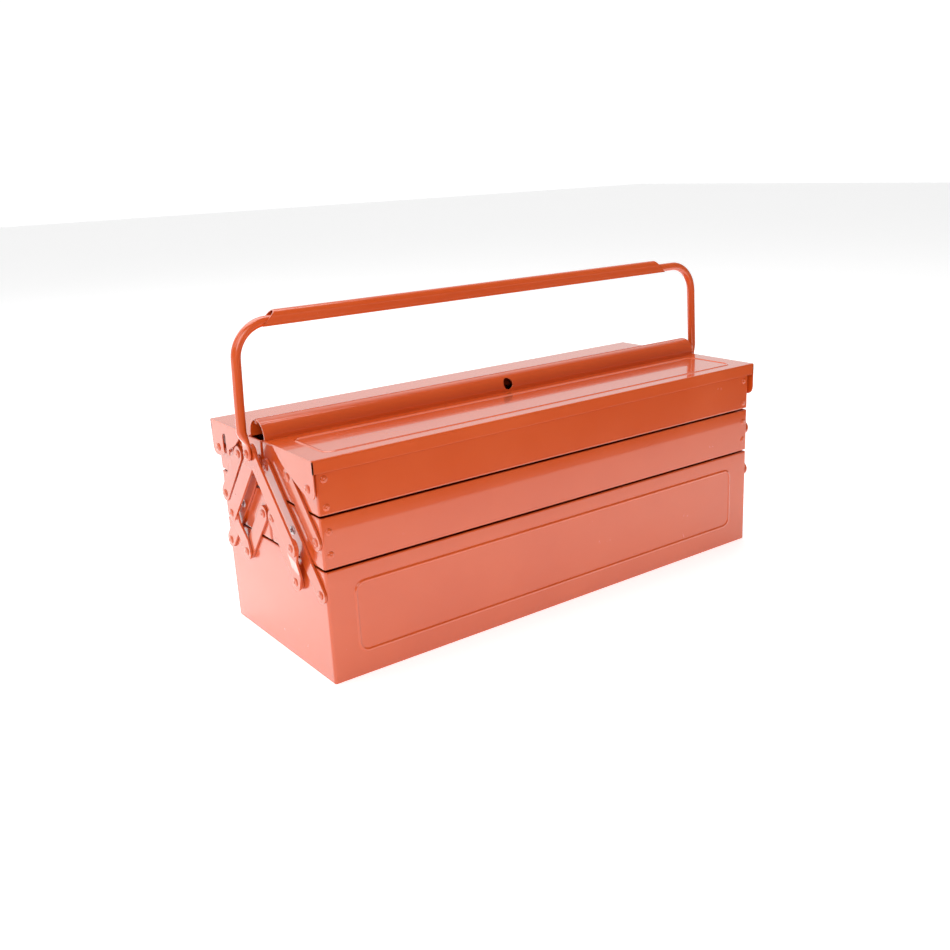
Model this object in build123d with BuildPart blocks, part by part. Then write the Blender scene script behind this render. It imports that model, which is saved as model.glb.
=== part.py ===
from build123d import *
import math
import os

os.makedirs("parts", exist_ok=True)

# ---------------------------------------------------------------- overall sizes
body_length = 524.0          # over the end walls of base and trays
body_width = 199.0           # over the long outer walls
base_height = 103.0
tray_height = 45.3           # of each of the four trays
tier_gap = 2.0               # air under each tray, above the rim below it
centre_gap = 1.5             # air between the front and the rear trays

# ---------------------------------------------------------------- sheet metal
sheet = 1.0
hem_height = 6.0             # the rim is folded in, so it is two sheets thick
bend_radius = 1.6
bead_width = 3.2
bead_rise = 0.8
bead_radius = 9.0
base_bead_low = 21.0         # base bead, from the underside
base_bead_high = 14.8        # base bead, down from the rim
base_bead_end = 25.4         # base bead, in from the end walls
lid_bead_end = 18.3
lid_bead_side = 12.8         # lid bead, in from the skirt and from the ridge

# ---------------------------------------------------------------- linkage
pivot_inner_y = 9.0          # pivot column nearest the middle plane
pivot_edge = 7.5             # outermost pivot column, in from the long walls
pivot_rise = 23.8            # pivots of a tray, above its floor
link_width = 15.0
link_thickness = 2.0
plate_gap = 0.3              # air between flat faces that slide past each other

# ---------------------------------------------------------------- rivets
rivet_radius = 2.5
running_clearance = 0.08
head_radius = 4.0
head_height = 1.4
head_taper = 25
tail_radius = 3.6
tail_height = 0.9
tube_rivet_bore = 1.6
corner_shank = 1.5
corner_head = 3.2
corner_head_height = 0.9
corner_inset = 7.0           # corner rivets, from the end of the wall

# ---------------------------------------------------------------- lids
lid_overhang_x = 4.0         # lid end, past the end walls
lid_overhang_y = 3.5         # lid skirt, past the long walls
lid_air = 2.6                # air between a tray rim and the lid over it
skirt_depth = 11.5
lid_pivot_edge = 8.8         # lid pivot, in from the long walls
lid_pivot_drop = 26.0        # lid pivot, below the lid's top face
flap_thickness = 1.0
ridge_half_width = 14.5
ridge_wall = 2.0             # upright part of the ridge, below its arch
ridge_seam = 0.8
ridge_lip = 4.0
ridge_inset = 1.0            # the ridge stops this far short of the lid's ends
lock_hole_radius = 5.5
vent_width = 11.0
vent_height = 20.0
vent_inset = 30.0            # vent, in from the skirt
vent_drop = 20.0             # vent, below the lid's top face

# ---------------------------------------------------------------- struts and handle
strut_foot_run = 12.7        # top of a strut's foot, outwards from its lower rivet
strut_foot_rise = 15.0       # the same place, above the base rim
apex_drop = 12.5             # handle pivot, below the lid's top face
strut_width = 16.0
strut_thickness = 2.0
strut_stand_off = 8.0        # from the end wall to the rear strut
handle_tube_radius = 4.4
handle_height = 99.4         # centre of the bar, above the lid's top face
handle_foot_out = 17.0       # lower end of a leg, past the end wall
handle_top_out = 13.0        # the same for its upper end: the legs lean in
handle_bend = 31.0
flat_thickness = 3.0
flat_width = 13.0
flat_rise = 7.0              # flattened end, above its rivet
flat_blend = 14.0            # from the flattened end up to the round tube
grip_short = 22.0            # grip cover, its length less than the body's by twice this
grip_offset = -11.0          # the cover sits this far off the middle, towards the left end
grip_wall = 1.1
grip_lift = 3.5              # the cover's arch stands this far above the tube's centre
grip_drop = 4.2              # the cover's sides end this far below the tube's centre
grip_slant = 13.0

# ---------------------------------------------------------------- derived places
half_length = body_length / 2
half_width = body_width / 2
tray_inner_y = centre_gap / 2
middle_z = base_height + tier_gap
tray_pitch = tray_height + tier_gap
upper_z = middle_z + tray_pitch
lid_top = upper_z + tray_height + lid_air + sheet
lid_end_x = half_length + lid_overhang_x
lid_half_width = half_width + lid_overhang_y
lid_pivot_y = half_width - lid_pivot_edge
lid_pivot_z = lid_top - lid_pivot_drop
pivot_outer_y = half_width - pivot_edge
pivot_mid_y = (pivot_inner_y + pivot_outer_y) / 2
pivot_mid_z = middle_z + pivot_rise
pivot_base_z = pivot_mid_z - tray_pitch
pivot_top_z = pivot_mid_z + tray_pitch
link_x = half_length + plate_gap
link_face_x = link_x + link_thickness
head_x = link_face_x + plate_gap / 2
foot_x = link_face_x + plate_gap
strut_foot_y = pivot_mid_y + strut_foot_run
strut_foot_z = base_height + strut_foot_rise
apex_z = lid_top - apex_drop
rear_strut_x = half_length + strut_stand_off
front_strut_x = rear_strut_x + strut_thickness
handle_flat_x = front_strut_x + strut_thickness + plate_gap
handle_top_z = lid_top + handle_height
hole_radius = rivet_radius + running_clearance
ENDS = (("left", -1), ("right", 1))
SIDES = (("front", -1), ("rear", 1))


def save(part, name):
    """Label one finished piece and write it out."""
    part.label = name
    export_step(part, "parts/" + name + ".step")
    print(name, round(part.volume))


def end_drill(points, radius):
    """Round rods through both end walls at the (y, z) points, for cutting holes."""
    with BuildPart() as drill:
        with BuildSketch(Plane.YZ):
            with Locations(*points):
                Circle(radius)
        extrude(amount=lid_end_x + head_height, both=True)
    return drill.part


def pan(y_low, y_high, z_low, height):
    """Open sheet-metal pan with a folded rim, not yet drilled."""
    width = y_high - y_low
    centre = (y_low + y_high) / 2
    with BuildPart() as shell:
        with BuildSketch(Plane.XY.offset(z_low)):
            with Locations((0, centre)):
                RectangleRounded(body_length, width, bend_radius)
        extrude(amount=height)
        with BuildSketch(Plane.XY.offset(z_low + sheet)):
            with Locations((0, centre)):
                RectangleRounded(body_length - 2 * sheet, width - 2 * sheet, bend_radius - sheet)
        extrude(amount=height - sheet - hem_height, mode=Mode.SUBTRACT)
        with BuildSketch(Plane.XY.offset(z_low + height - hem_height)):
            with Locations((0, centre)):
                Rectangle(body_length - 4 * sheet, width - 4 * sheet)
        extrude(amount=hem_height, mode=Mode.SUBTRACT)
    return shell.part


def wall_drill(side, places):
    """Small rods for the corner rivets' holes, through the outer wall on one side."""
    with BuildPart() as drill:
        with BuildSketch(Plane.XZ.offset(-side * (half_width + sheet))):
            with Locations(*places):
                Circle(corner_shank)
        extrude(amount=side * 3 * sheet)
    return drill.part


def corner_places(heights):
    """(x, z) places of the corner rivets at both ends of a long wall."""
    return [(x, z) for x in (corner_inset - half_length, half_length - corner_inset) for z in heights]


def corner_rivets(side, heights):
    """Rivets that hold the folded corners of a tray, as separate solids."""
    with BuildPart() as group:
        with BuildSketch(Plane.XZ.offset(-side * half_width)):
            with Locations(*corner_places(heights)):
                Circle(corner_head)
        extrude(amount=-side * corner_head_height, taper=30)
        with BuildSketch(Plane.XZ.offset(-side * half_width)):
            with Locations(*corner_places(heights)):
                Circle(corner_shank)
        extrude(amount=side * sheet)
    return group.part


def flat_bar(end, x_near, lower, upper, width, thickness, holes):
    """Flat bar with round ends, lying against an end wall; holes are (y, z, radius)."""
    run = upper[0] - lower[0]
    rise = upper[1] - lower[1]
    middle = ((lower[0] + upper[0]) / 2, (lower[1] + upper[1]) / 2)
    with BuildPart() as bar:
        with BuildSketch(Plane.YZ.offset(end * x_near)):
            with Locations(middle):
                SlotCenterToCenter(math.hypot(run, rise), width, rotation=math.degrees(math.atan2(rise, run)))
            for y, z, radius in holes:
                with Locations((y, z)):
                    Circle(radius, mode=Mode.SUBTRACT)
        extrude(amount=end * thickness)
    return bar.part


def rivets(ends, points, x_tail, x_grip, shoulder=0.0):
    """Separate rivets at the (y, z) points: a tail behind x_tail, a shank, a tapered head on x_grip."""
    with BuildPart() as group:
        for end in ends:
            with BuildSketch(Plane.YZ.offset(end * (x_tail - tail_height))):
                with Locations(*points):
                    Circle(tail_radius)
            extrude(amount=end * tail_height)
            with BuildSketch(Plane.YZ.offset(end * x_tail)):
                with Locations(*points):
                    Circle(rivet_radius)
            extrude(amount=end * (x_grip - x_tail))
            if shoulder:
                with BuildSketch(Plane.YZ.offset(end * half_length)):
                    with Locations(*points):
                        Circle(head_radius)
                extrude(amount=end * shoulder)
            with BuildSketch(Plane.YZ.offset(end * x_grip)):
                with Locations(*points):
                    Circle(head_radius)
            extrude(amount=end * head_height, taper=head_taper)
    return group.part


def wall_rivets(points, x_grip, shoulder=0.0):
    """Rivets through the end walls at both ends of the box."""
    return rivets((-1, 1), points, half_length - sheet, x_grip, shoulder)


# ---------------------------------------------------------------- base
base_points = [(s * y, pivot_base_z) for s in (-1, 1) for y in (pivot_mid_y, pivot_outer_y)]
base_pan = pan(-half_width, half_width, 0, base_height)
base_drill = end_drill(base_points, rivet_radius)
with BuildPart() as base:
    add(base_pan)
    add(base_drill, mode=Mode.SUBTRACT)
    bead_x = body_length - 2 * base_bead_end
    bead_z = base_height - base_bead_low - base_bead_high
    for side in (-1, 1):
        with BuildSketch(Plane.XZ.offset(-side * half_width)):
            with Locations((0, base_bead_low + bead_z / 2)):
                RectangleRounded(bead_x, bead_z, bead_radius)
                inner_size = (bead_x - 2 * bead_width, bead_z - 2 * bead_width)
                RectangleRounded(*inner_size, bead_radius - bead_width, mode=Mode.SUBTRACT)
        extrude(amount=-side * bead_rise)
save(base.part, "base_box")

for name, y_pivot, x_grip in (
    ("base_lever_rivets", pivot_outer_y, head_x),
    ("base_foot_rivets", pivot_mid_y, foot_x + strut_thickness),
):
    save(wall_rivets([(-y_pivot, pivot_base_z), (y_pivot, pivot_base_z)], x_grip), name)

# ---------------------------------------------------------------- trays and their rivets
for side_name, side in SIDES:
    y_pair = sorted((side * tray_inner_y, side * half_width))
    middle_points = [(side * y, pivot_mid_z) for y in (pivot_inner_y, pivot_mid_y, pivot_outer_y)]
    upper_points = [(side * y, pivot_top_z) for y in (pivot_inner_y, pivot_mid_y)]
    lid_point = (side * lid_pivot_y, lid_pivot_z)
    middle_heights = (middle_z + tray_height * 0.28, middle_z + tray_height * 0.72)
    upper_heights = (upper_z + tray_height * 0.15, upper_z + tray_height * 0.68)

    middle_pan = pan(y_pair[0], y_pair[1], middle_z, tray_height)
    middle_drill = end_drill(middle_points, rivet_radius)
    middle_wall_drill = wall_drill(side, corner_places(middle_heights))
    with BuildPart() as middle_tray:
        add(middle_pan)
        add(middle_drill, mode=Mode.SUBTRACT)
        add(middle_wall_drill, mode=Mode.SUBTRACT)
    save(middle_tray.part, side_name + "_middle_tray")

    upper_pan = pan(y_pair[0], y_pair[1], upper_z, tray_height)
    upper_drill = end_drill(upper_points + [lid_point], rivet_radius)
    upper_wall_drill = wall_drill(side, corner_places(upper_heights))
    with BuildPart() as upper_tray:
        add(upper_pan)
        add(upper_drill, mode=Mode.SUBTRACT)
        add(upper_wall_drill, mode=Mode.SUBTRACT)
    save(upper_tray.part, side_name + "_upper_tray")

    save(wall_rivets([middle_points[0], middle_points[2]], head_x), side_name + "_middle_tray_rivets")
    save(wall_rivets(upper_points, head_x), side_name + "_upper_tray_rivets")
    shoulder = lid_end_x - flap_thickness - half_length - plate_gap
    save(wall_rivets([lid_point], lid_end_x + plate_gap / 2, shoulder), side_name + "_lid_rivets")
    save(corner_rivets(side, middle_heights), side_name + "_middle_corner_rivets")
    save(corner_rivets(side, upper_heights), side_name + "_upper_corner_rivets")

    solid_rivets = wall_rivets([middle_points[1]], head_x)
    tube_drill = end_drill([middle_points[1]], tube_rivet_bore)
    with BuildPart() as tubular:
        add(solid_rivets)
        add(tube_drill, mode=Mode.SUBTRACT)
    save(tubular.part, side_name + "_tubular_rivets")

# ---------------------------------------------------------------- levers and links
for side_name, side in SIDES:
    inner = side * pivot_inner_y
    mid = side * pivot_mid_y
    outer = side * pivot_outer_y
    for end_name, end in ENDS:
        place = side_name + "_" + end_name
        lever_holes = [(outer, pivot_base_z, hole_radius), (mid, pivot_mid_z, hole_radius)]
        lever_holes.append((inner, pivot_top_z, hole_radius))
        lever = flat_bar(end, link_x, (outer, pivot_base_z), (inner, pivot_top_z), link_width,
                         link_thickness, lever_holes)
        save(lever, place + "_long_lever")
        low_holes = [(mid, pivot_base_z, hole_radius), (inner, pivot_mid_z, hole_radius)]
        low_link = flat_bar(end, link_x, (mid, pivot_base_z), (inner, pivot_mid_z), link_width,
                            link_thickness, low_holes)
        save(low_link, place + "_lower_link")
        top_holes = [(outer, pivot_mid_z, hole_radius), (mid, pivot_top_z, hole_radius)]
        top_link = flat_bar(end, link_x, (outer, pivot_mid_z), (mid, pivot_top_z), link_width,
                            link_thickness, top_holes)
        save(top_link, place + "_upper_link")

# ---------------------------------------------------------------- struts and their feet
for side_name, side in SIDES:
    strut_x = front_strut_x if side < 0 else rear_strut_x
    low = (side * pivot_mid_y, pivot_base_z)
    high = (side * strut_foot_y, strut_foot_z)
    reach = math.hypot(high[0] - low[0], high[1] - low[1])
    lean = Vector(0, (high[0] - low[0]) / reach, (high[1] - low[1]) / reach)
    for end_name, end in ENDS:
        place = side_name + "_" + end_name
        strut_holes = [(high[0], high[1], rivet_radius), (0, apex_z, rivet_radius)]
        strut = flat_bar(end, strut_x, high, (0, apex_z), strut_width, strut_thickness, strut_holes)
        save(strut, place + "_strut")

        # A strip that lies flat on the pivot, steps outward and ends behind the strut.
        step = end * (strut_x - strut_thickness - foot_x)
        near = end * foot_x
        thick = end * strut_thickness
        foot_plane = Plane(origin=(0, low[0], low[1]), x_dir=lean, z_dir=lean.cross(Vector(1, 0, 0)))
        rim = strut_width / 2 + 1
        outline = flat_bar(end, foot_x - 1, low, high, strut_width, 4 * strut_stand_off,
                           [(low[0], low[1], rivet_radius), (high[0], high[1], rivet_radius)])
        sign = 1 if foot_plane.y_dir.X > 0 else -1
        profile = [(-rim, near), (reach * 0.27, near), (reach * 0.72, near + step), (reach + rim, near + step),
                   (reach + rim, near + step + thick), (reach * 0.72, near + step + thick),
                   (reach * 0.27, near + thick), (-rim, near + thick)]
        with BuildPart() as foot:
            with BuildSketch(foot_plane):
                with BuildLine():
                    Polyline(*[(along, sign * across) for along, across in profile], close=True)
                make_face()
            extrude(amount=strut_width, both=True)
            add(outline, mode=Mode.INTERSECT)
        save(foot.part, place + "_strut_foot")
    save(rivets((-1, 1), [high], strut_x - strut_thickness, strut_x + strut_thickness),
         side_name + "_strut_rivets")

save(rivets((-1, 1), [(0, apex_z)], rear_strut_x, handle_flat_x + flat_thickness + plate_gap / 2),
     "handle_rivets")

# ---------------------------------------------------------------- handle
flat_top = apex_z + flat_rise
tube_foot = flat_top + flat_blend
foot_out = half_length + handle_foot_out
top_out = half_length + handle_top_out
with BuildPart() as handle:
    with BuildLine() as bail_path:
        FilletPolyline(
            (-foot_out, 0, tube_foot),
            (-top_out, 0, handle_top_z),
            (top_out, 0, handle_top_z),
            (foot_out, 0, tube_foot),
            radius=handle_bend,
        )
    bail_wire = bail_path.wires()[0]
    with BuildSketch(Plane(origin=bail_wire @ 0, z_dir=bail_wire % 0)):
        Circle(handle_tube_radius)
    sweep(path=bail_wire)
    for share, end in ((0, -1), (1, 1)):
        flat_mid = end * (handle_flat_x + flat_thickness / 2)
        with BuildSketch(Plane.XY.offset(flat_top)):
            with Locations((flat_mid, 0)):
                RectangleRounded(flat_thickness, flat_width, flat_thickness * 0.45)
        with BuildSketch(Plane(origin=bail_wire @ share, z_dir=(bail_wire % share) * -end)):
            Circle(handle_tube_radius)
        loft()
        with BuildSketch(Plane.YZ.offset(end * handle_flat_x)):
            with Locations((0, apex_z)):
                Circle(flat_width / 2)
            with Locations((0, apex_z + flat_rise / 2)):
                Rectangle(flat_width, flat_rise)
            with Locations((0, apex_z)):
                Circle(hole_radius, mode=Mode.SUBTRACT)
        extrude(amount=end * flat_thickness)
save(handle.part, "carrying_handle")

grip_length = body_length - 2 * grip_short
with BuildPart() as grip:
    arch_z = handle_top_z + grip_lift
    side_height = grip_lift + grip_drop
    with BuildSketch(Plane.YZ.offset(grip_offset)):
        with Locations((0, arch_z)):
            Circle(handle_tube_radius + grip_wall)
        with Locations((0, arch_z - side_height / 2)):
            Rectangle(2 * (handle_tube_radius + grip_wall), side_height)
        with Locations((0, arch_z)):
            Circle(handle_tube_radius, mode=Mode.SUBTRACT)
        with Locations((0, arch_z - handle_tube_radius)):
            Rectangle(2 * handle_tube_radius, 2 * handle_tube_radius, mode=Mode.SUBTRACT)
        with Locations((0, handle_top_z - grip_drop - handle_tube_radius)):
            Rectangle(4 * handle_tube_radius, 2 * handle_tube_radius, mode=Mode.SUBTRACT)
    extrude(amount=grip_length / 2, both=True)
    grip_top = arch_z + handle_tube_radius + grip_wall
    grip_bottom = handle_top_z - grip_drop
    with BuildSketch(Plane.XZ):
        with BuildLine():
            Polyline(
                (grip_offset - grip_length / 2, grip_bottom),
                (grip_offset + grip_length / 2, grip_bottom),
                (grip_offset + grip_length / 2 - grip_slant, grip_top),
                (grip_offset + grip_slant - grip_length / 2, grip_top),
                close=True,
            )
        make_face()
    extrude(amount=flat_width, both=True, mode=Mode.INTERSECT)
save(grip.part, "handle_grip_cover")


# ---------------------------------------------------------------- lids
def lid_flap(end):
    """The end flap: it widens up to the lid and carries the lid's pivot near its tip."""
    tip_z = lid_pivot_z - 8
    with BuildPart() as flap:
        with BuildSketch(Plane.YZ.offset(end * (lid_end_x - flap_thickness))):
            with BuildLine():
                Polyline(
                    (-lid_half_width, lid_top),
                    (-lid_half_width, tip_z + 6),
                    (-lid_half_width + 6, tip_z),
                    (-lid_pivot_y + 3, tip_z),
                    (-lid_pivot_y + 8, tip_z + 3),
                    (-pivot_mid_y + 3.5, lid_top - 15),
                    (-pivot_mid_y + 18.5, lid_top),
                    close=True,
                )
            make_face()
            with Locations((-lid_pivot_y, lid_pivot_z)):
                Circle(hole_radius, mode=Mode.SUBTRACT)
        extrude(amount=end * flap_thickness)
    return flap.part


def ridge_half():
    """Half of the central arch: upright wall, quarter arch and a lip turned down at the seam."""
    spring = lid_top + ridge_wall
    outer = ridge_half_width
    length = lid_end_x - ridge_inset
    with BuildPart() as ridge:
        with BuildSketch(Plane.YZ.offset(-length)):
            with Locations((0, spring)):
                Circle(outer)
            with Locations((0, lid_top + ridge_wall / 2 - sheet / 2)):
                Rectangle(2 * outer, ridge_wall + sheet)
            with Locations((0, spring)):
                Circle(outer - sheet, mode=Mode.SUBTRACT)
            with Locations((0, spring - outer)):
                Rectangle(2 * (outer - sheet), 2 * outer, mode=Mode.SUBTRACT)
            with Locations((0, lid_top - sheet - outer)):
                Rectangle(4 * outer, 2 * outer, mode=Mode.SUBTRACT)
            with Locations((outer - ridge_seam / 2, lid_top)):
                Rectangle(2 * outer, 4 * outer, mode=Mode.SUBTRACT)
            with Locations((-ridge_seam / 2 - sheet / 2, spring + outer - ridge_lip / 2 - sheet / 2)):
                Rectangle(sheet, ridge_lip)
        extrude(amount=2 * length)
    return ridge.part


plate_width = lid_half_width - ridge_half_width
flaps = [lid_flap(end) for _, end in ENDS]
with BuildPart() as front_lid:
    with BuildSketch(Plane.XY.offset(lid_top - sheet)):
        with Locations((0, -lid_half_width + plate_width / 2)):
            Rectangle(2 * lid_end_x, plate_width)
    extrude(amount=sheet)
    with BuildSketch(Plane.XY.offset(lid_top - skirt_depth)):
        with Locations((0, -lid_half_width + sheet / 2)):
            Rectangle(2 * lid_end_x, sheet)
    extrude(amount=skirt_depth)
    add(flaps)
    top_edges = front_lid.edges().filter_by(Axis.X).filter_by_position(Axis.Z, lid_top - 0.1, lid_top + 0.1)
    fillet(top_edges.sort_by(Axis.Y)[0], sheet * 0.9)
    bead_x = 2 * (lid_end_x - lid_bead_end)
    bead_y = plate_width - 2 * lid_bead_side
    with BuildSketch(Plane.XY.offset(lid_top)):
        with Locations((0, -lid_half_width + plate_width / 2)):
            RectangleRounded(bead_x, bead_y, bead_radius)
            inner_size = (bead_x - 2 * bead_width, bead_y - 2 * bead_width)
            RectangleRounded(*inner_size, bead_radius - bead_width, mode=Mode.SUBTRACT)
    extrude(amount=bead_rise)
    with BuildSketch(Plane.YZ.offset(lid_end_x - 2 * flap_thickness)):
        with Locations((vent_inset - lid_half_width, lid_top - vent_drop)):
            RectangleRounded(vent_width, vent_height, flap_thickness)
    extrude(amount=3 * flap_thickness, mode=Mode.SUBTRACT)
save(front_lid.part, "front_lid")

bare_ridge = ridge_half()
with BuildPart() as front_ridge:
    add(bare_ridge)
    with BuildSketch(Plane.XZ):
        with Locations((0, lid_top + ridge_wall + ridge_half_width * 0.35)):
            Circle(lock_hole_radius)
    extrude(amount=2 * ridge_half_width, both=True, mode=Mode.SUBTRACT)
save(front_ridge.part, "front_ridge")

# The rear lid and ridge are the same pressings, turned half round the upright axis.
half_turn = Location((0, 0, 0), (0, 0, 180))
for pressing, name in ((front_lid.part, "rear_lid"), (front_ridge.part, "rear_ridge")):
    with BuildPart() as rear_pressing:
        with Locations(half_turn):
            add(pressing)
    save(rear_pressing.part, name)
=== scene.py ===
# %% [markdown]
# # A steel cantilever toolbox, closed
# The box is pressed from thin steel sheet, riveted together and dipped in orange enamel.
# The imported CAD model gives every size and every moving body. This file gives the looks:
# sheet metal with real bends and half-round beads, domed rivets, a tube that is flattened
# at its ends, and a glossy enamel that is a little uneven, as sprayed paint is.

# %% Load the frame
import math

import bmesh
import bpy
import numpy as np
from mathutils import Matrix, Vector


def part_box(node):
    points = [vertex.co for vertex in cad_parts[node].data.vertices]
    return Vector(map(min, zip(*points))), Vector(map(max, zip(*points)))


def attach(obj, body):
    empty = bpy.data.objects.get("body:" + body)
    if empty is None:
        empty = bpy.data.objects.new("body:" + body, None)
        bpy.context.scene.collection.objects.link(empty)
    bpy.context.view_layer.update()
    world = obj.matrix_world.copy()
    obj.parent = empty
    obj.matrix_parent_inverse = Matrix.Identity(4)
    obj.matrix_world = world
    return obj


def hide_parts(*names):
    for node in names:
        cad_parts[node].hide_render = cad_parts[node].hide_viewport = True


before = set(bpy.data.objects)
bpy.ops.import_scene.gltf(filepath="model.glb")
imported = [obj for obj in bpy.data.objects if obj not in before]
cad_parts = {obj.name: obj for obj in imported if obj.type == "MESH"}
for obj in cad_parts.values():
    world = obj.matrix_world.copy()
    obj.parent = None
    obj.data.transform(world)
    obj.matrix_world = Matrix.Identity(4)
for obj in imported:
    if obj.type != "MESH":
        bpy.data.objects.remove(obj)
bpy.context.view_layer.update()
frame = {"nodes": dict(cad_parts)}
nodes = frame["nodes"]
MM = 0.001
BOX_MIDDLE = (0, 0, 0.1)
SIDES = (("front", -1.0), ("rear", 1.0))

# %% [markdown]
# ## Camera
# The box is seen from its front left, a little from above, through a short portrait lens.
# The camera is placed by two angles, a distance and a small roll, which is easier to adjust
# than a position and three turns.

# %% Camera
def aim(azimuth, elevation, roll):
    """Three unit vectors of a camera: its right, its up, and back towards the viewer."""
    a, e, r = (math.radians(v) for v in (azimuth, elevation, roll))
    back = Vector((math.sin(a) * math.cos(e), -math.cos(a) * math.cos(e), math.sin(e)))
    right = Vector((0, 0, 1)).cross(back).normalized()
    up = back.cross(right)
    turned_right = right * math.cos(r) + up * math.sin(r)
    turned_up = up * math.cos(r) - right * math.sin(r)
    return turned_right, turned_up, back


def add_camera(target, distance, azimuth, elevation, roll, lens, shift):
    """A camera that looks at target from a distance, with its own roll."""
    right, up, back = aim(azimuth, elevation, roll)
    data = bpy.data.cameras.new("camera")
    data.lens = lens
    data.sensor_width = 36.0
    data.shift_x, data.shift_y = shift
    camera = bpy.data.objects.new("camera", data)
    place = Vector(target) + back * distance
    turn = Matrix((right, up, back)).transposed().to_4x4()
    camera.matrix_world = Matrix.Translation(place) @ turn
    bpy.context.scene.collection.objects.link(camera)
    bpy.context.scene.camera = camera
    print("camera at", [round(v, 3) for v in place])


add_camera(
    target=BOX_MIDDLE, distance=1.0944, azimuth=-36.55, elevation=17.46, roll=-2.37,
    lens=39.8, shift=(-0.0308, 0.0095),
)

# %% [markdown]
# ## Shader maths written as Python
# A material is a graph of nodes. Writing it node by node is slow to read, so this small
# class wraps a socket and turns `a * 2 + b` into the Math nodes that work it out.

# %% Shader values
class Value:
    """One number that may change over a surface; arithmetic on it adds Math nodes."""

    def __init__(self, tree, socket):
        self.tree = tree
        self.socket = socket

    def math(self, operation, *inputs):
        return self.tree.node("ShaderNodeMath", {"operation": operation}, inputs)

    def __add__(self, other):
        return self.math("ADD", self, other)

    def __rsub__(self, other):
        return self.math("SUBTRACT", other, self)

    def __mul__(self, other):
        return self.math("MULTIPLY", self, other)

    def clamp(self):
        return self.tree.node("ShaderNodeClamp", {}, (self,))

    def ramp(self, low, high):
        """0 below low, 1 above high, and an S-shaped rise between them."""
        settings = {"interpolation_type": "SMOOTHSTEP"}
        return self.tree.node("ShaderNodeMapRange", settings, (self, low, high, 0.0, 1.0))


BEVEL_SAMPLES = 6


class Tree:
    """A new material, with one method that makes any node and a few short forms of it."""

    def __init__(self, name):
        self.material = bpy.data.materials.new(name)
        self.material.use_nodes = True
        self.nodes = self.material.node_tree.nodes
        self.links = self.material.node_tree.links
        self.shader = self.nodes["Principled BSDF"]

    def node(self, kind, settings=None, inputs=(), output=0):
        """Make a node, set its settings, then give its inputs numbers or links."""
        made = self.nodes.new(kind)
        for key, value in (settings or {}).items():
            setattr(made, key, value)
        pairs = inputs.items() if isinstance(inputs, dict) else enumerate(inputs)
        for key, value in pairs:
            self.give(made.inputs[key], value)
        return Value(self, made.outputs[output])

    def give(self, socket, value):
        if isinstance(value, Value):
            self.links.new(value.socket, socket)
        elif value is not None:
            socket.default_value = value

    def finish(self, **values):
        """Give the shader its values, by socket name with underscores for spaces."""
        for key, value in values.items():
            self.give(self.shader.inputs[key.replace("_", " ")], value)
        return self.material

    def place(self):
        """Object coordinates, which stay with a piece when its body moves."""
        return self.node("ShaderNodeTexCoord", {}, {}, output=3)

    def noise(self, place, scale, detail=2.0, roughness=0.5):
        inputs = {"Vector": place, "Scale": scale, "Detail": detail, "Roughness": roughness}
        return self.node("ShaderNodeTexNoise", {}, inputs)

    def mix(self, amount, first, second):
        """A blend of two colours, by an amount from 0 to 1."""
        made = self.nodes.new("ShaderNodeMix")
        made.data_type = "RGBA"
        self.give(made.inputs[0], amount)
        self.give(made.inputs[6], first)
        self.give(made.inputs[7], second)
        return Value(self, made.outputs[2])

    def edges(self, radius):
        """1 along sharp edges, 0 on flats: how far a rounded normal leans from the true one."""
        soft = self.node("ShaderNodeBevel", {"samples": BEVEL_SAMPLES}, {"Radius": radius})
        true = self.node("ShaderNodeNewGeometry", {}, {}, output=1)
        settings = {"operation": "DOT_PRODUCT"}
        same = self.node("ShaderNodeVectorMath", settings, (soft, true), output=1)
        return (1.0 - same).ramp(0.01, 0.25)


# %% [markdown]
# ## Orange enamel
# Sprayed enamel is glossy, but it isn't a mirror: it has orange peel and a ripple of a few
# millimetres. Handling leaves faint cloudy marks that only show in the gloss, and there are
# a few dark specks. Each of these is noise at its own scale. The colour is also made paler
# along edges and bends: a painted highlight.

# %% Enamel
CLOUD_SCALE, RIPPLE_SCALE, RUB_SCALE, PEEL_SCALE, SPECK_SCALE = 9.0, 38.0, 65.0, 420.0, 900.0
EDGE_HIGHLIGHT_REACH = 0.0011
PEEL_STRENGTH, PEEL_DEPTH = 0.14, 0.0005
COAT_ROUGHNESS = 0.04


def enamel(name, deep, pale, gloss, bevel=0.0007):
    """Enamel from a deep and a pale colour; gloss is its mean roughness."""
    tree = Tree(name)
    place = tree.place()
    cloud = tree.noise(place, CLOUD_SCALE, 3.0, 0.55)
    peel = tree.noise(place, PEEL_SCALE, 1.5, 0.4)
    ripple = tree.noise(place, RIPPLE_SCALE, 1.0, 0.4)
    rub = tree.noise(place, RUB_SCALE, 6.0, 0.7).ramp(0.52, 0.74)
    # edge mask: a painted highlight, a paler colour along edges and bends
    edge = tree.edges(EDGE_HIGHLIGHT_REACH)
    speck = tree.noise(place, SPECK_SCALE, 2.0, 0.6).ramp(0.7, 0.78)
    tone = tree.mix((cloud.ramp(0.3, 0.72) * 0.35 + edge * 0.55).clamp(), deep, pale)
    colour = tree.mix(speck * 0.12, tone, tuple(c * 0.55 for c in deep[:3]) + (1.0,))
    bump = tree.node("ShaderNodeBump", {}, {
        "Strength": PEEL_STRENGTH, "Distance": PEEL_DEPTH, "Height": peel * 0.25 + ripple * 1.0,
        "Normal": tree.node("ShaderNodeBevel", {"samples": BEVEL_SAMPLES}, {"Radius": bevel}),
    })
    return tree.finish(
        Base_Color=colour, Roughness=cloud * 0.08 + rub * 0.03 + (gloss - 0.04), Normal=bump,
        Coat_Weight=1.0, Coat_Roughness=COAT_ROUGHNESS, IOR=1.5,
    )


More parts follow.
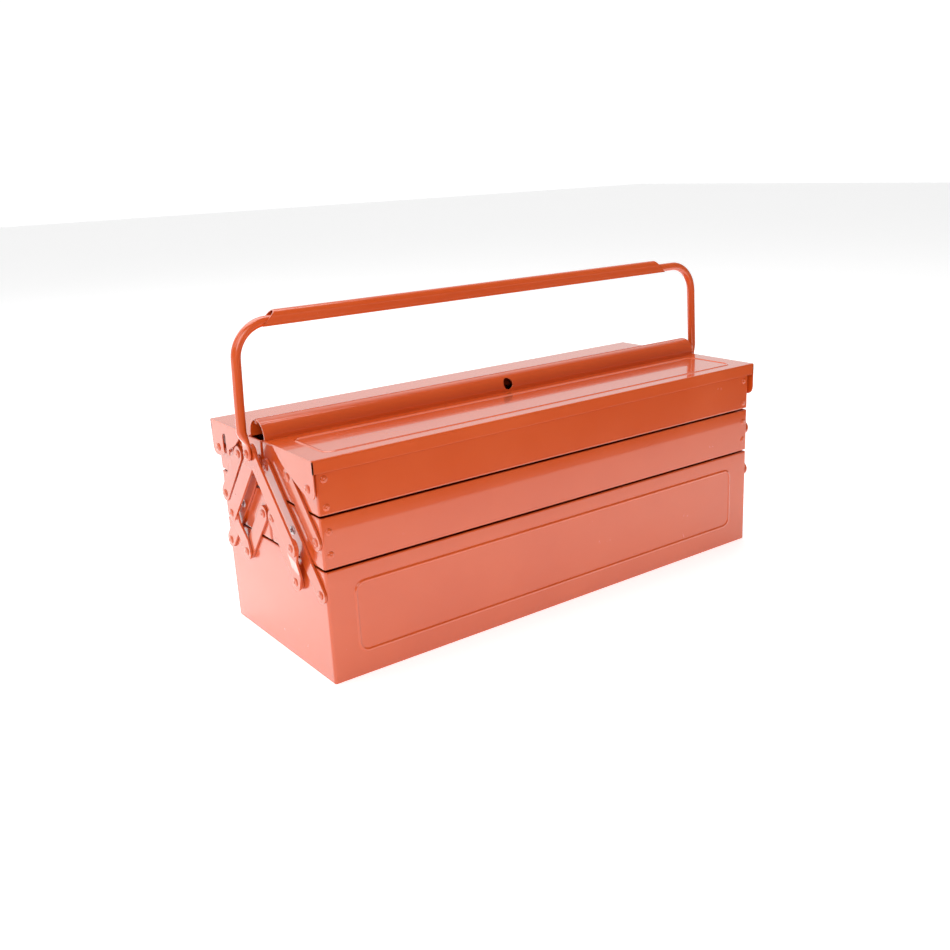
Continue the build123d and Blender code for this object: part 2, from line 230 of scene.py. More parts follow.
body_enamel = enamel("orange_enamel", (0.68, 0.084, 0.009, 1.0), (0.78, 0.122, 0.022, 1.0), 0.24)
link_enamel = enamel("link_enamel", (0.64, 0.080, 0.010, 1.0), (0.78, 0.140, 0.032, 1.0), 0.28)
print("enamel nodes", len(body_enamel.node_tree.nodes))

# %% [markdown]
# ## Bright steel
# The hollow rivets at the middle of the long levers are zinc plated and unpainted. Plating
# is grey, with a fine crystal mottle and cloudy patches of brown grime.

# %% Plated steel
def plated(name):
    """Zinc plating on steel."""
    tree = Tree(name)
    place = tree.place()
    mottle = tree.noise(place, 700.0, 3.0, 0.6)
    grime = tree.noise(place, 160.0, 4.0, 0.6).ramp(0.45, 0.75)
    colour = tree.mix(grime * 0.6, (0.62, 0.62, 0.63, 1.0), (0.25, 0.2, 0.18, 1.0))
    relief = {"Strength": 0.25, "Distance": 0.0002, "Height": mottle}
    bump = tree.node("ShaderNodeBump", {}, relief)
    return tree.finish(
        Base_Color=colour, Metallic=0.9 - grime * 0.4, Roughness=mottle * 0.25 + 0.2, Normal=bump,
    )


zinc = plated("bright_zinc")

# %% [markdown]
# ## From arrays to meshes
# Every new piece is a grid of points, worked out at once, that is then sewn into quads.
# A grid may close on itself in either direction, as a tube or a ring does.

# %% Grids and pieces
def sew(points, close_u=False, close_v=False):
    """Points (u, v, 3) to (vertices, quads); the quads turn from u towards v."""
    rows, columns = points.shape[:2]
    index = np.arange(rows * columns).reshape(rows, columns)
    if close_u:
        index = np.vstack([index, index[:1]])
    if close_v:
        index = np.hstack([index, index[:, :1]])
    a, b = index[:-1, :-1], index[1:, :-1]
    c, d = index[1:, 1:], index[:-1, 1:]
    return points.reshape(-1, 3), np.stack([a, b, c, d], axis=-1).reshape(-1, 4)


WELD_REACH = 2e-6


def weld(mesh):
    """Join points that coincide, so every shell is closed, and turn all faces outwards."""
    work = bmesh.new()
    work.from_mesh(mesh)
    bmesh.ops.remove_doubles(work, verts=work.verts, dist=WELD_REACH)
    bmesh.ops.recalc_face_normals(work, faces=work.faces)
    work.to_mesh(mesh)
    work.free()
    mesh.update()


def piece(name, parts, body, material, replaced, sharp=35.0):
    """One object from (vertices, faces) parts, in millimetres, that rides on a body."""
    vertices, faces, start = [], [], 0
    for points, quads in parts:
        vertices.append(points)
        faces += [tuple(int(i) + start for i in face) for face in quads]
        start += len(points)
    mesh = bpy.data.meshes.new(name)
    mesh.from_pydata(np.vstack(vertices) * MM, [], faces)
    weld(mesh)
    mesh.polygons.foreach_set("use_smooth", np.ones(len(mesh.polygons), bool))
    mesh.set_sharp_from_angle(angle=math.radians(sharp))
    mesh.materials.append(material)
    made = bpy.data.objects.new(name, mesh)
    bpy.context.scene.collection.objects.link(made)
    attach(made, body)
    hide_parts(*replaced)
    print(name, len(mesh.polygons), "faces")
    return made


def spaced(*runs):
    """Positions along a line from (start, stop, count) runs, sorted, with no repeats."""
    return np.unique(np.round(np.concatenate([np.linspace(*run) for run in runs]), 4))


# %% [markdown]
# ## Pressed beads
# A bead is a half-round rib pressed out of a flat wall to stiffen it. Here it runs round a
# rectangle with rounded corners. The distance from a point to that outline gives its height.

# %% Bead
def bead(x, y, half_x, half_y, radius, width, rise):
    """Height of a bead at (x, y): a cosine hump of the width, centred on a rounded rectangle."""
    qx = np.abs(x) - (half_x - radius)
    qy = np.abs(y) - (half_y - radius)
    outside = np.hypot(np.maximum(qx, 0), np.maximum(qy, 0))
    distance = outside + np.minimum(np.maximum(qx, qy), 0) - radius
    near = np.clip(np.abs(distance) / (width / 2), 0, 1)
    return rise * (0.5 + 0.5 * np.cos(np.pi * near))


def bead_lines(half, radius, width):
    """Grid lines across a bead: fine where it bends or crosses, none on the straight runs."""
    edge = half + width / 2
    bend = half - radius - width / 2
    return [(-edge, -bend, 26), (bend, edge, 26), (-edge - 0.4, edge + 0.4, 2)]


def moved_lines(runs, offset):
    """Grid lines of the runs, all moved by an offset."""
    return spaced(*[(start + offset, stop + offset, count) for start, stop, count in runs])


# %% [markdown]
# ## Pans
# The base and the four trays are open pans. The outline of a pan, seen from above, is a
# rectangle with tight rounded corners; its wall section runs up the outside, rolls over the
# folded rim and comes down the inside. The pan is one carried along the other.

# %% Pan
SHEET = 1.0
RIB_WIDTH = 3.6
RIB_RISE = 0.8
RIB_RADIUS = 9.0
BASE_RIB = (235.0, 32.0, 54.6)


def outline(half_x, half_y, radius, x_lines):
    """A rounded rectangle, anticlockwise: points (n, 2), outward normals (n, 2), wall side."""
    turn = np.linspace(0, np.pi / 2, 6)
    end = half_y - radius
    straight_y = np.array([-end, -end + 0.4, 0, end - 0.4, end])
    corner = np.array([[1, -1], [1, 1], [-1, 1], [-1, -1]])
    points, normals, side = [], [], []
    walls = [
        (np.stack([x_lines, np.full_like(x_lines, -half_y)], 1), (0, -1), -1),
        (np.stack([np.full_like(straight_y, half_x), straight_y], 1), (1, 0), 0),
        (np.stack([-x_lines, np.full_like(x_lines, half_y)], 1), (0, 1), 1),
        (np.stack([np.full_like(straight_y, -half_x), -straight_y], 1), (-1, 0), 0),
    ]
    for number, (wall, normal, tag) in enumerate(walls):
        points.append(wall)
        normals.append(np.tile(np.array(normal, float), (len(wall), 1)))
        side.append(np.full(len(wall), tag))
        middle = corner[number] * np.array([half_x - radius, half_y - radius])
        angle = (turn + (number - 1) * np.pi / 2)[1:-1]
        ray = np.stack([np.cos(angle), np.sin(angle)], 1)
        points.append(middle + radius * ray)
        normals.append(ray)
        side.append(np.zeros(len(ray)))
    return np.vstack(points), np.vstack(normals), np.concatenate(side)


def wall_section(height, sheet, hem, z_lines):
    """(offset outwards, z, inset 0..1) rows: bottom, outside, rolled rim, inside, floor.

    An inset of 1 puts a row at the middle of the pan, which closes the bottom or the floor.
    """
    roll = np.linspace(0, np.pi, 9)[1:-1]
    low = sheet * 0.9
    rows = [(-low, 0, 1.0), (-low, 0, 0), (-low * 0.3, low * 0.3, 0)]
    rows += [(0, low, 0), (0, low + 0.4, 0)]
    rows += [(0, z, 0) for z in z_lines]
    rows += [(0, height - sheet - 0.3, 0)]
    rim = height - sheet
    rows += [(-sheet + sheet * math.cos(a), rim + sheet * math.sin(a), 0) for a in roll]
    rows += [(-2 * sheet, rim, 0), (-2 * sheet, height - hem, 0)]
    rows += [(-sheet, height - hem - 0.4, 0)]
    rows += [(-sheet, z, 0) for z in z_lines[::-1] if z < height - hem - 1]
    rows += [(-sheet, 2.6, 0), (-sheet * 1.5, 1.5, 0)]
    rows += [(-sheet * 2.3, sheet, 0), (-sheet * 2.3, sheet, 1.0)]
    return np.array(rows)


def pan(node, sheet=SHEET, hem=6.0, radius=2.4, rib=None):
    """The pan that stands for a CAD node, inside its box; rib = (half_x, half_z, middle z)."""
    low, high = (np.array(corner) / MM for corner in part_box(node))
    proud = RIB_RISE if rib else 0.0
    half_x, half_y = (high[0] - low[0]) / 2, (high[1] - low[1]) / 2 - proud
    middle = (low + high) / 2
    height = high[2] - low[2]
    end = half_x - radius
    runs_x = [(-end, end, 9), (-end + 0.4, end - 0.4, 2)]
    z_lines = np.linspace(4, height - 8, 4)
    if rib:
        runs_x += bead_lines(rib[0], RIB_RADIUS, RIB_WIDTH)
        z_lines = moved_lines(bead_lines(rib[1], RIB_RADIUS, RIB_WIDTH), rib[2])
    flat, normal, side = outline(half_x, half_y, radius, spaced(*runs_x))
    section = wall_section(height, sheet, hem, z_lines)
    spread = flat[:, None, :] + normal[:, None, :] * section[None, :, 0:1]
    if rib:
        across, along = flat[:, None, 0], section[None, :, 1] - rib[2]
        lift = bead(across, along, rib[0], rib[1], RIB_RADIUS, RIB_WIDTH, RIB_RISE)
        upright = (section[None, :, 0] > -1.5 * sheet) & (section[None, :, 2] == 0)
        upright = upright & (np.abs(side)[:, None] == 1)
        spread = spread + normal[:, None, :] * (lift * upright)[..., None]
    spread = spread * (1 - section[None, :, 2:3])
    z = np.broadcast_to(section[None, :, 1] + low[2], spread.shape[:2])
    points = np.dstack([spread[..., 0] + middle[0], spread[..., 1] + middle[1], z])
    return sew(points, close_u=True)


piece("base_pan", [pan("base_box", rib=BASE_RIB)], "base", body_enamel, ["base_box"])
for side_name, _ in SIDES:
    for tier in ("middle", "upper"):
        node = f"{side_name}_{tier}_tray"
        body = f"{side_name} {tier} tray"
        piece(f"{side_name}_{tier}_pan", [pan(node)], body, body_enamel, [node])

# %% [markdown]
# ## Lids
# Each lid is a flat top with a skirt down its outer side and a flap over each end. A
# separate half arch on each lid covers the seam in the middle, with a hole for a lock.
# The photo shows a pressed bead on the front lid's top and none on the rear one's. A
# section is drawn once, given the thickness of the sheet, and carried along the box.
# Each lid has a vent slot in the flap at one end, with a bent tongue behind it.

# %% Lid section
def arc(centre, radius, start, stop, count):
    """Points on an arc, angles in degrees."""
    a = np.radians(np.linspace(start, stop, count))
    return np.stack([centre[0] + radius * np.cos(a), centre[1] + radius * np.sin(a)], 1)


def lid_section(top, outer_y, skirt, inner_y, lines):
    """The outer face of a front lid in (y, z), from the skirt's lower edge to its inner edge."""
    bend = 1.5
    return np.vstack([
        [(-outer_y, top - skirt), (-outer_y, top - bend - 0.4)],
        arc((-outer_y + bend, top - bend), bend, 180, 90, 6),
        [(-outer_y + bend + 0.4, top)],
        [(y, top) for y in lines],
        [(-inner_y - 0.3, top), (-inner_y, top - 0.3)],
    ])


def ridge_section(top, radius, wall, lip):
    """The outer face of a front ridge half in (y, z): upright foot, quarter arch, turned lip."""
    spring = top + wall
    seam = 0.4
    crown = spring + math.sqrt(radius ** 2 - (seam + 1.3) ** 2)
    return np.vstack([
        [(-radius, top - 1.0), (-radius, top + 0.4)],
        arc((0, spring), radius, 180, 97, 30),
        arc((-seam - 1.0, crown - 0.75), 0.95, 80, 0, 5),
        [(-seam - 0.02, crown - lip)],
    ])


def inner_face(path, sheet):
    """The same path moved in by the sheet's thickness, along the normals of its points."""
    along = np.gradient(path, axis=0)
    along /= np.linalg.norm(along, axis=1, keepdims=True)
    normal = np.stack([along[:, 1], -along[:, 0]], 1)
    return path + normal * sheet


def carried(path, inner, x_lines, lift):
    """A closed section along x, with a lift of z at each (x, y), and its two ends capped."""
    loop = np.vstack([path, inner[::-1]])
    x = np.broadcast_to(x_lines[:, None], (len(x_lines), len(loop)))
    y = np.broadcast_to(loop[None, :, 0], x.shape)
    z = loop[None, :, 1] + lift(x, y)
    points, quads = sew(np.dstack([x, y, z]), close_v=True)
    count, half = len(loop), len(path)
    i = np.arange(half - 1)
    cap = np.stack([i, i + 1, count - 2 - i, count - 1 - i], 1)
    last = (len(x_lines) - 1) * count
    return points, np.vstack([quads, cap, cap[:, ::-1] + last])


def plate(outline_yz, x_near, x_far):
    """A flat plate from an outline in (y, z), between two values of x."""
    count = len(outline_yz)
    ring = [np.column_stack([np.full(count, x), outline_yz]) for x in (x_near, x_far)]
    i = np.arange(count)
    j = np.roll(i, -1)
    sides = np.stack([i, j, j + count, i + count], 1)
    faces = [tuple(face) for face in sides] + [tuple(i[::-1]), tuple(i + count)]
    return np.vstack(ring), faces


def rounded(corners, radii, steps=7):
    """A polygon whose corners are cut by short quadratic curves of the given reach."""
    corners = np.array(corners, float)
    out = []
    for k, reach in enumerate(radii):
        here, before, after = corners[k], corners[k - 1], corners[(k + 1) % len(corners)]
        a = here + (before - here) / np.linalg.norm(before - here) * reach
        b = here + (after - here) / np.linalg.norm(after - here) * reach
        t = np.linspace(0, 1, steps)[:, None]
        out.append((1 - t) ** 2 * a + 2 * t * (1 - t) * here + t ** 2 * b if reach else here[None])
    return np.vstack(out)


# %% Lid
LID_OUT = -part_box("front_lid")[0].y / MM
LID_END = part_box("front_lid")[1].x / MM
LID_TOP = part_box("front_lid")[1].z / MM - RIB_RISE
RIDGE_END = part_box("front_ridge")[1].x / MM
RIDGE_RADIUS = -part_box("front_ridge")[0].y / MM
RIDGE_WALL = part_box("front_ridge")[1].z / MM - LID_TOP - RIDGE_RADIUS
LID_RIB_END = 18.3
LID_RIB_SIDE = 12.8
RIB_HALF_X = LID_END - LID_RIB_END - RIB_WIDTH / 2
RIB_HALF_Y = (LID_OUT - RIDGE_RADIUS) / 2 - LID_RIB_SIDE - RIB_WIDTH / 2
RIB_MIDDLE_Y = -(LID_OUT + RIDGE_RADIUS) / 2


def lid_lift(x, y):
    """The lid's bead, and nothing on the skirt or near the ridge."""
    height = bead(x, y - RIB_MIDDLE_Y, RIB_HALF_X, RIB_HALF_Y, RIB_RADIUS, RIB_WIDTH, RIB_RISE)
    return np.where((y < -RIDGE_RADIUS - 3) & (y > -LID_OUT + 3), height, 0.0)


def no_lift(x, y):
    """A plain surface, with no bead."""
    return np.zeros_like(x * y)


def drilled(part, cutter):
    """A closed part with the shape of a second one taken out of it."""
    made = []
    for points, faces in (part, cutter):
        mesh = bpy.data.meshes.new("blank")
        mesh.from_pydata(points, [], [tuple(int(i) for i in face) for face in faces])
        weld(mesh)
        blank = bpy.data.objects.new("blank", mesh)
        bpy.context.scene.collection.objects.link(blank)
        made.append(blank)
    trim = made[0].modifiers.new("cut", "BOOLEAN")
    trim.object = made[1]
    trim.solver = "EXACT"
    bpy.context.view_layer.update()
    result = made[0].evaluated_get(bpy.context.evaluated_depsgraph_get()).data
    points = np.array([v.co[:] for v in result.vertices])
    faces = [tuple(face.vertices) for face in result.polygons]
    for blank in made:
        bpy.data.meshes.remove(blank.data)
    print("drilled", len(part[1]), "->", len(faces), "faces")
    return points, faces


def turned(points):
    """The same shape turned half round the upright axis, for the rear lid."""
    return points * np.array([-1.0, -1.0, 1.0])


def rod_y(x, z, radius, y_from, y_to):
    """A round rod along y."""
    a = np.linspace(0, 2 * np.pi, 40, endpoint=False)
    ring = np.stack([x + radius * np.cos(a), z + radius * np.sin(a)], 1)
    points, faces = plate(ring, y_from, y_to)
    return points[:, [1, 0, 2]], faces


def slot_x(y, z, width, height, x_from, x_to):
    """An upright slot with round ends, cut along x."""
    w, h = width / 2, height / 2
    ring = rounded([(y - w, z - h), (y + w, z - h), (y + w, z + h), (y - w, z + h)], [w] * 4)
    return plate(ring, x_from, x_to)


SKIRT = 11.5
RIDGE_LIP = 4.0
VENT_WIDTH, VENT_HEIGHT = 11, 20
LOCK_RADIUS = 5.5
rib_lines = moved_lines(bead_lines(RIB_HALF_Y, RIB_RADIUS, RIB_WIDTH), RIB_MIDDLE_Y)
lid_path = lid_section(LID_TOP, LID_OUT, SKIRT, RIDGE_RADIUS, rib_lines)
x_lines = spaced((-LID_END, LID_END, 7), *bead_lines(RIB_HALF_X, RIB_RADIUS, RIB_WIDTH))
ribbed_lid = carried(lid_path, inner_face(lid_path, SHEET), x_lines, lid_lift)
plain_lid = carried(lid_path, inner_face(lid_path, SHEET), x_lines, no_lift)
ridge_path = ridge_section(LID_TOP, RIDGE_RADIUS, RIDGE_WALL, RIDGE_LIP)
ridge_lines = np.linspace(-RIDGE_END, RIDGE_END, 9)
ridge = carried(ridge_path, inner_face(ridge_path, SHEET), ridge_lines, no_lift)
PIVOT_Y = -LID_OUT + 12.3
PIVOT_Z = LID_TOP - 26.0
flap_line = rounded(
    [
        (-LID_OUT, LID_TOP - 1), (-LID_OUT, PIVOT_Z - 8), (PIVOT_Y + 3, PIVOT_Z - 8),
        (PIVOT_Y + 44, LID_TOP - 15), (PIVOT_Y + 59, LID_TOP - 1),
    ],
    [0, 9, 5, 10, 0],
)
VENT_Y = -LID_OUT + 30.0
VENT_Z = LID_TOP - 20.0
vent = slot_x(VENT_Y, VENT_Z, VENT_WIDTH, VENT_HEIGHT, LID_END - 3, LID_END + 3)
vented_flap = drilled(plate(flap_line, LID_END - 1, LID_END), vent)
flaps = [vented_flap, plate(flap_line, -LID_END, -LID_END + 1)]
tongue_line = rounded([(-2.6, -10), (2.6, -10), (2.6, 10), (-2.6, 10)], [1.0] * 4)
tongue = plate(tongue_line + np.array([VENT_Y + 3.0, VENT_Z]), LID_END - 1.4, LID_END - 0.5)
lock_height = LID_TOP + RIDGE_WALL + RIDGE_RADIUS * 0.35
lock_hole = rod_y(0, lock_height, LOCK_RADIUS, -30, 0)
ridge = drilled(ridge, lock_hole)
for side_name, side in SIDES:
    place = turned if side > 0 else (lambda points: points)
    pressing = plain_lid if side > 0 else ribbed_lid
    parts = [(place(points), faces) for points, faces in [pressing, tongue] + flaps]
    piece(f"{side_name}_lid_pressing", parts, f"{side_name} lid", body_enamel, [f"{side_name}_lid"])
    arch = [(place(ridge[0]), ridge[1])]
    piece(f"{side_name}_ridge_arch", arch, f"{side_name} lid", body_enamel, [f"{side_name}_ridge"])

# %% [markdown]
# ## Rivets
# A rivet head is a low dome with a small dimple left by the setting tool, or with a bore
# in the hollow rivets. The disc under a head closes that bore just below the surface. One
# head is a profile turned round its axis; all the heads of a group are that head, moved.

# %% Rivets
SHANK_RADIUS = 2.45
OUTER_RIM, INNER_RIM = 1.4, 0.9  # how far each head's rim lies inside the rivet's own ends


def turned_head(profile, steps=28):
    """(distance along the axis, radius) rows turned round x into a grid (rows, steps, 3)."""
    a = np.linspace(0, 2 * np.pi, steps, endpoint=False)
    x = np.broadcast_to(profile[:, 0:1], (len(profile), steps))
    return np.dstack([x, profile[:, 1:2] * np.cos(a), profile[:, 1:2] * np.sin(a)])


def dome(radius, height, dimple=0.0, bore=0.0):
    """A head from its rim to its middle: an ellipse, with a dimple or a bore at the middle."""
    t = np.linspace(0, 1, 10)
    rows = np.stack([height * np.sin(t * np.pi / 2) ** 0.8, radius * np.cos(t * np.pi / 2)], 1)
    if bore:
        rows = rows[rows[:, 1] > bore * 1.25]
        inside = [(height, bore * 1.1), (height * 0.8, bore), (-1.6, bore), (-1.6, 0)]
        rows = np.vstack([rows, inside])
    elif dimple:
        rows = rows[rows[:, 1] > dimple]
        inside = [(height * 0.94, dimple), (height * 0.66, dimple * 0.7), (height * 0.55, 0)]
        rows = np.vstack([rows, inside])
    return np.vstack([[(-0.4, 0), (-0.4, radius)], rows])


def heads(profile, places, direction):
    """Copies of a head at (x, y, z) places, pointing along +x or -x."""
    grid = turned_head(profile)
    out = []
    for x, y, z in places:
        points = grid * np.array([direction, 1.0, 1.0]) + np.array([x, y, z])
        out.append(sew(points if direction > 0 else points[:, ::-1], close_v=True))
    return out


def shank(radius, place, x_to):
    """A plain round pin along x between two distances."""
    profile = np.array([(place[0], 0), (place[0], radius), (x_to, radius), (x_to, 0)])
    grid = turned_head(profile, 24)
    return sew(grid + np.array([0, place[1], place[2]]), close_v=True)


def solids(node):
    """Boxes of the separate solids in a CAD node: (lowest, highest) corners, in millimetres."""
    mesh = nodes[node].data
    points = np.array([v.co for v in mesh.vertices]) / MM
    keys = np.round(points, 3)
    unique, label = np.unique(keys, axis=0, return_inverse=True)
    label = label.ravel()
    parent = np.arange(len(unique))
    edges = label[np.array([e.vertices[:] for e in mesh.edges])]
    changed = True
    while changed:
        low = np.minimum(parent[edges[:, 0]], parent[edges[:, 1]])
        before = parent.copy()
        np.minimum.at(parent, edges[:, 0], low)
        np.minimum.at(parent, edges[:, 1], low)
        changed = not np.array_equal(before, parent)
    return [(unique[parent == k].min(0), unique[parent == k].max(0)) for k in np.unique(parent)]


def rivet_piece(node, body, material, bore=0.0):
    """Domed rivets in the places of a CAD group whose rivets lie along x."""
    parts = []
    for low, high in solids(node):
        way = 1.0 if low[0] > 0 else -1.0
        far = max(abs(low[0]), abs(high[0]))
        near = min(abs(low[0]), abs(high[0]))
        y, z = (low[1] + high[1]) / 2, (low[2] + high[2]) / 2
        parts += heads(dome(4.0, 1.25, 1.5, bore), [(way * (far - OUTER_RIM), y, z)], way)
        parts += heads(dome(3.6, 0.8, 1.2, bore), [(way * (near + INNER_RIM), y, z)], -way)
        start = (way * near + way * INNER_RIM, y, z)
        parts.append(shank(SHANK_RADIUS, start, way * (far - OUTER_RIM)))
    piece(node.replace("rivets", "domed_rivets"), parts, body, material, [node])


ON_BASE = (
    "base_lever_rivets", "base_foot_rivets", "front_strut_rivets", "rear_strut_rivets",
    "handle_rivets",
)
for node in ON_BASE:
    rivet_piece(node, "base", link_enamel)
for side_name, _ in SIDES:
    middle, upper = f"{side_name} middle tray", f"{side_name} upper tray"
    rivet_piece(f"{side_name}_middle_tray_rivets", middle, link_enamel)
    rivet_piece(f"{side_name}_tubular_rivets", middle, zinc, bore=1.6)
    rivet_piece(f"{side_name}_upper_tray_rivets", upper, link_enamel)
    rivet_piece(f"{side_name}_lid_rivets", upper, link_enamel)

# %% [markdown]
# ## Corner rivets
# The folded corners of the trays are held by small rivets through the long walls, so these
# heads point forwards or backwards. They are smaller heads of the same kind, turned a
# quarter.

# %% Corner rivets
for side_name, side in SIDES:
    for tier in ("middle", "upper"):
        node = f"{side_name}_{tier}_corner_rivets"
        parts = []
        for low, high in solids(node):
            x, z = (low[0] + high[0]) / 2, (low[2] + high[2]) / 2
            face = (high[1] if side > 0 else low[1]) - side * 0.9
            (points, quads), = heads(dome(3.2, 0.85, 1.1), [(0, 0, 0)], 1.0)
            turned_points = np.stack([-points[:, 1] * side, points[:, 0] * side, points[:, 2]], 1)
            parts.append((turned_points + np.array([x, face, z]), quads))
        body = f"{side_name} {tier} tray"
        piece(f"{side_name}_{tier}_corner_heads", parts, body, body_enamel, [node])

# %% [markdown]
# ## Handle
# The handle is one steel tube, bent twice and pressed flat at its ends for the rivets.
# Its section changes along the tube: round on the bail, and a wide, thin and squarer oval
# at the ends, where it closes in a half circle.

# %% Handle tube
FLAT_WIDE = 6.5
FLAT_THIN = 1.45
TUBE_RADIUS = 4.4
FOOT_OUT, TOP_OUT = 17.0, 13.0
BEND = 31.0


def bail_path(foot_x, top_x, flat_x, pivot_z, top_z, bend):
    """Centre line of the left half in (x, z), from the tip of its end to the bar's middle."""
    tip = pivot_z - FLAT_WIDE
    flat_end = pivot_z + 7.0
    leg_foot = flat_end + 14.0
    eased = 1 - np.cos(np.linspace(0, np.pi / 2, 14))
    flat = np.stack([np.full(14, -flat_x), tip + (flat_end - tip) * eased], 1)
    t = np.linspace(0, 1, 14)[1:]
    swing = t * t * (3 - 2 * t)
    out = -flat_x - (foot_x - flat_x) * swing
    joggle = np.stack([out, flat_end + (leg_foot - flat_end) * t], 1)
    lean = math.degrees(math.atan2(foot_x - top_x, top_z - leg_foot))
    sweep_angle = 90.0 - lean
    reach = bend * math.tan(math.radians(sweep_angle / 2))
    centre = (-top_x + reach, top_z - bend)
    curve = arc(centre, bend, 90 + sweep_angle, 90, 20)
    leg = np.linspace(joggle[-1], curve[0], 7)[1:-1]
    top = np.stack([np.linspace(centre[0] + 4, 0, 10), np.full(10, top_z)], 1)
    return np.vstack([flat, joggle, leg, curve, top])


def handle_tube(line, pivot_z, radius):
    """The left half of the tube, then its mirror image, as one closed grid."""
    along = np.gradient(line, axis=0)
    along /= np.linalg.norm(along, axis=1, keepdims=True)
    across = np.stack([-along[:, 1], along[:, 0]], 1)
    rise = line[:, 1] - (pivot_z - FLAT_WIDE)
    press = np.clip((FLAT_WIDE + 21.0 - rise) / 16.0, 0, 1)
    press = press * press * (3 - 2 * press)
    thin = radius + (FLAT_THIN - radius) * press
    wide = radius + (FLAT_WIDE - radius) * press
    tip = np.clip(rise / FLAT_WIDE, 0, 1)
    wide = np.maximum(wide * np.sqrt(1 - (1 - tip) ** 2), 0.02)
    a = np.linspace(0, 2 * np.pi, 40, endpoint=False)
    boxy = 1.0 - 0.45 * press[:, None]
    cos = np.sign(np.cos(a)) * np.abs(np.cos(a)) ** boxy
    sin = np.sign(np.sin(a)) * np.abs(np.sin(a)) ** boxy
    x = line[:, 0:1] + across[:, 0:1] * thin[:, None] * cos
    z = line[:, 1:2] + across[:, 1:2] * thin[:, None] * cos
    y = wide[:, None] * sin
    half = np.dstack([x, y, z])
    other = half[::-1][1:] * np.array([-1.0, 1.0, 1.0])
    return np.concatenate([half, other])


HALF_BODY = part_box("front_upper_tray")[1].x / MM
BAIL_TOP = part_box("carrying_handle")[1].z / MM - TUBE_RADIUS
FLAT_X = HALF_BODY + 12.3 + 1.5
PIVOT = LID_TOP - 12.5
line = bail_path(HALF_BODY + FOOT_OUT, HALF_BODY + TOP_OUT, FLAT_X, PIVOT, BAIL_TOP, BEND)
tube = handle_tube(line, PIVOT, TUBE_RADIUS)
piece("handle_tube", [sew(tube, close_v=True)], "carrying handle", body_enamel, ["carrying_handle"])

# %% [markdown]
# ## Grip cover
# A sheet-metal cover is pressed over the bar to make it kinder to the hand. It is an
# upside-down U that stands a little off the tube, with its ends cut on a slant and its
# lower edges rolled outwards.

# %% Grip cover
def grip_section(radius, lift, drop):
    """Outer face of the cover in (y, z) about the tube's centre, left edge to right edge."""
    side_z = np.linspace(-drop, lift, 6)[:-1]
    curl = 0.35 * np.clip((-drop + 1.2 - side_z) / 1.2, 0, 1)
    left = np.stack([-radius - curl, side_z], 1)
    right = np.stack([radius + curl[::-1], side_z[::-1]], 1)
    return np.vstack([left, arc((0, lift), radius, 180, 0, 19), right])


GRIP_RADIUS, GRIP_LIFT, GRIP_DROP = 5.4, 3.5, 4.1
GRIP_TALL = 13.0
GRIP_SLANT = 13.0
GRIP_SHEET = 0.85
grip_low, grip_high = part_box("handle_grip_cover")
half_grip = (grip_high.x - grip_low.x) / MM / 2
grip_middle = (grip_high.x + grip_low.x) / MM / 2
section = grip_section(GRIP_RADIUS, GRIP_LIFT, GRIP_DROP)
inside = inner_face(section, GRIP_SHEET)
loop = np.vstack([section, inside[::-1]])
reach = half_grip - GRIP_SLANT * (loop[:, 1] + GRIP_DROP) / GRIP_TALL
share = np.array([-1, -0.999, -0.8, -0.4, 0, 0.4, 0.8, 0.999, 1.0])
grid = np.dstack([
    share[:, None] * reach[None, :] + grip_middle,
    np.broadcast_to(loop[None, :, 0], (len(share), len(loop))),
    np.broadcast_to(loop[None, :, 1] + BAIL_TOP, (len(share), len(loop))),
])
points, quads = sew(grid, close_v=True)
i = np.arange(len(section) - 1)
cap = np.stack([i, i + 1, len(loop) - 2 - i, len(loop) - 1 - i], 1)
quads = np.vstack([quads, cap, cap[:, ::-1] + (len(share) - 1) * len(loop)])
piece("grip_cover", [(points, quads)], "carrying handle", body_enamel, ["handle_grip_cover"])

# %% [markdown]
# ## Bars that stay as they are
# Levers, links, struts and feet are flat bars whose CAD shape is right. They keep their
# meshes and get the links' enamel, whose rounded normals soften their stamped edges.

# %% Bars
bars = [name for name in nodes if name.endswith(("_lever", "_link", "_strut", "_foot"))]
for name in bars:
    mesh = nodes[name].data
    mesh.materials.clear()
    mesh.materials.append(link_enamel)
print("bars", len(bars))

# %% [markdown]
# ## Floor and light
# A glossy box shows what surrounds it. The floor glows a little. The room is bright behind
# the box and dim in front of it, and plain white to the camera. A dark card on the floor in
# front is seen only in reflections. Four large soft lights do the rest.

# %% Floor
def add_floor():
    """A pale floor that glows, so that it stays white round the box."""
    tree = Tree("floor")
    place = tree.place()
    tone = tree.noise(place, 3.0, 2.0, 0.5)
    material = tree.finish(
        Base_Color=tree.mix(tone, (0.86, 0.86, 0.86, 1), (0.9, 0.9, 0.9, 1)), Roughness=0.6,
        Emission_Color=(1.0, 1.0, 1.0, 1.0), Emission_Strength=0.55,
    )
    mesh = bpy.data.meshes.new("floor")
    mesh.from_pydata([(-9, -9, 0), (9, -9, 0), (9, 9, 0), (-9, 9, 0)], [], [(0, 1, 2, 3)])
    mesh.materials.append(material)
    floor = bpy.data.objects.new("floor", mesh)
    bpy.context.scene.collection.objects.link(floor)


def add_light(name, place, target, size, power):
    """A square area light that points at a target."""
    data = bpy.data.lights.new(name, "AREA")
    data.energy = power
    data.size = size
    lamp = bpy.data.objects.new(name, data)
    lamp.location = place
    lamp.rotation_euler = (Vector(target) - Vector(place)).to_track_quat("-Z", "Y").to_euler()
    bpy.context.scene.collection.objects.link(lamp)


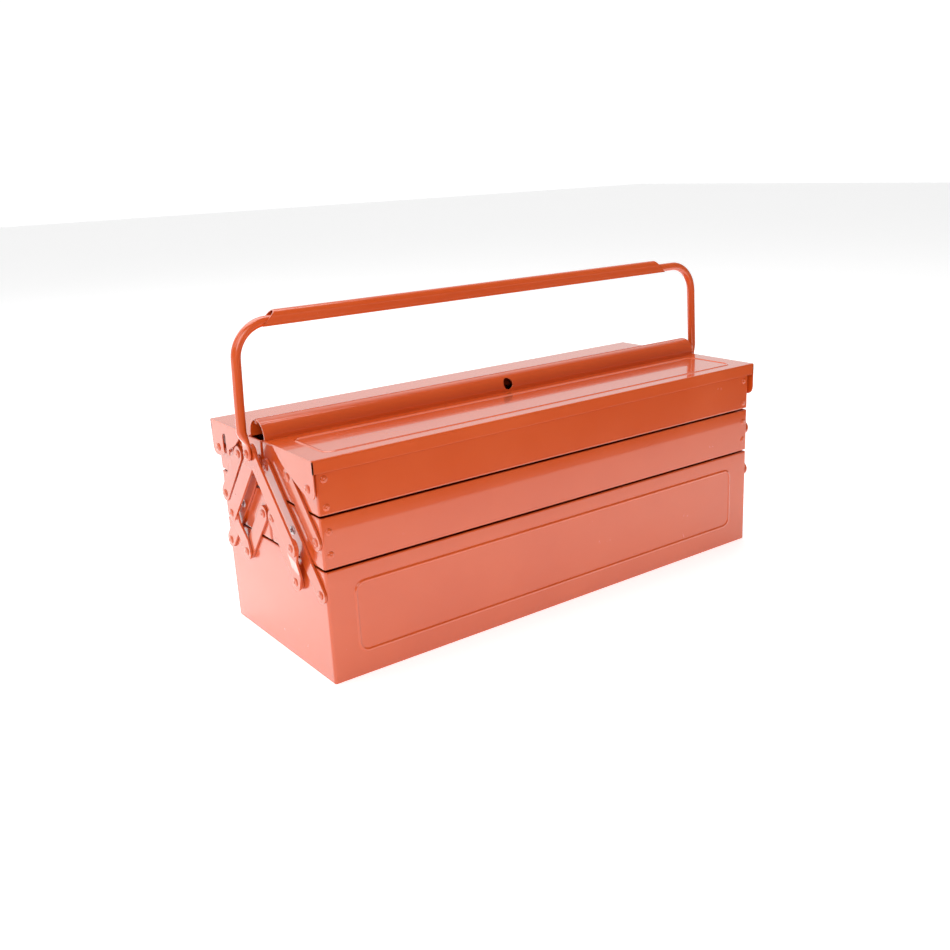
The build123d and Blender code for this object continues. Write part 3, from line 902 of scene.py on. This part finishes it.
def add_card(near_y, far_y):
    """A dark card on the floor in front, for reflections only, that deepens the tray fronts."""
    tree = Tree("dark_card")
    material = tree.finish(Base_Color=(0.02, 0.02, 0.02, 1), Roughness=1.0)
    mesh = bpy.data.meshes.new("dark_card")
    corners = [(x, y, 0.004) for x, y in ((-4, far_y), (4, far_y), (4, near_y), (-4, near_y))]
    mesh.from_pydata(corners, [], [(0, 1, 2, 3)])
    mesh.materials.append(material)
    card = bpy.data.objects.new("dark_card", mesh)
    card.visible_camera = card.visible_diffuse = card.visible_shadow = False
    bpy.context.scene.collection.objects.link(card)


def add_room(behind, ahead):
    """A room that is bright behind the box, dim ahead of it, and white to the camera."""
    world = bpy.data.worlds.new("pale room")
    world.use_nodes = True
    nodes, links = world.node_tree.nodes, world.node_tree.links
    place = nodes.new("ShaderNodeTexCoord")
    split = nodes.new("ShaderNodeSeparateXYZ")
    glow = nodes.new("ShaderNodeMapRange")
    glow.inputs["From Min"].default_value = 0.05
    glow.inputs["From Max"].default_value = 0.55
    glow.inputs["To Min"].default_value = ahead
    glow.inputs["To Max"].default_value = behind
    path = nodes.new("ShaderNodeLightPath")
    strength = nodes.new("ShaderNodeMix")
    links.new(place.outputs["Generated"], split.inputs[0])
    links.new(split.outputs["Y"], glow.inputs["Value"])
    links.new(path.outputs["Is Camera Ray"], strength.inputs[0])
    links.new(glow.outputs[0], strength.inputs[2])
    strength.inputs[3].default_value = 1.05
    background = nodes["Background"]
    background.inputs[0].default_value = (1.0, 1.0, 1.0, 1.0)
    links.new(strength.outputs[0], background.inputs[1])
    bpy.context.scene.world = world


bpy.context.scene.view_settings.view_transform = "Standard"
add_floor()
add_card(near_y=-0.44, far_y=-4.0)
add_room(behind=0.8, ahead=0.12)
add_light("key", (-1.9, -0.7, 1.7), BOX_MIDDLE, 1.5, 11.0)
add_light("front", (-1.1, -2.2, 1.2), BOX_MIDDLE, 1.4, 18.0)
add_light("overhead", (-0.2, 0.3, 2.2), BOX_MIDDLE, 1.8, 32.0)
add_light("back", (-0.9, 2.0, 1.6), (-0.2, 0, 0.1), 1.4, 9.0)
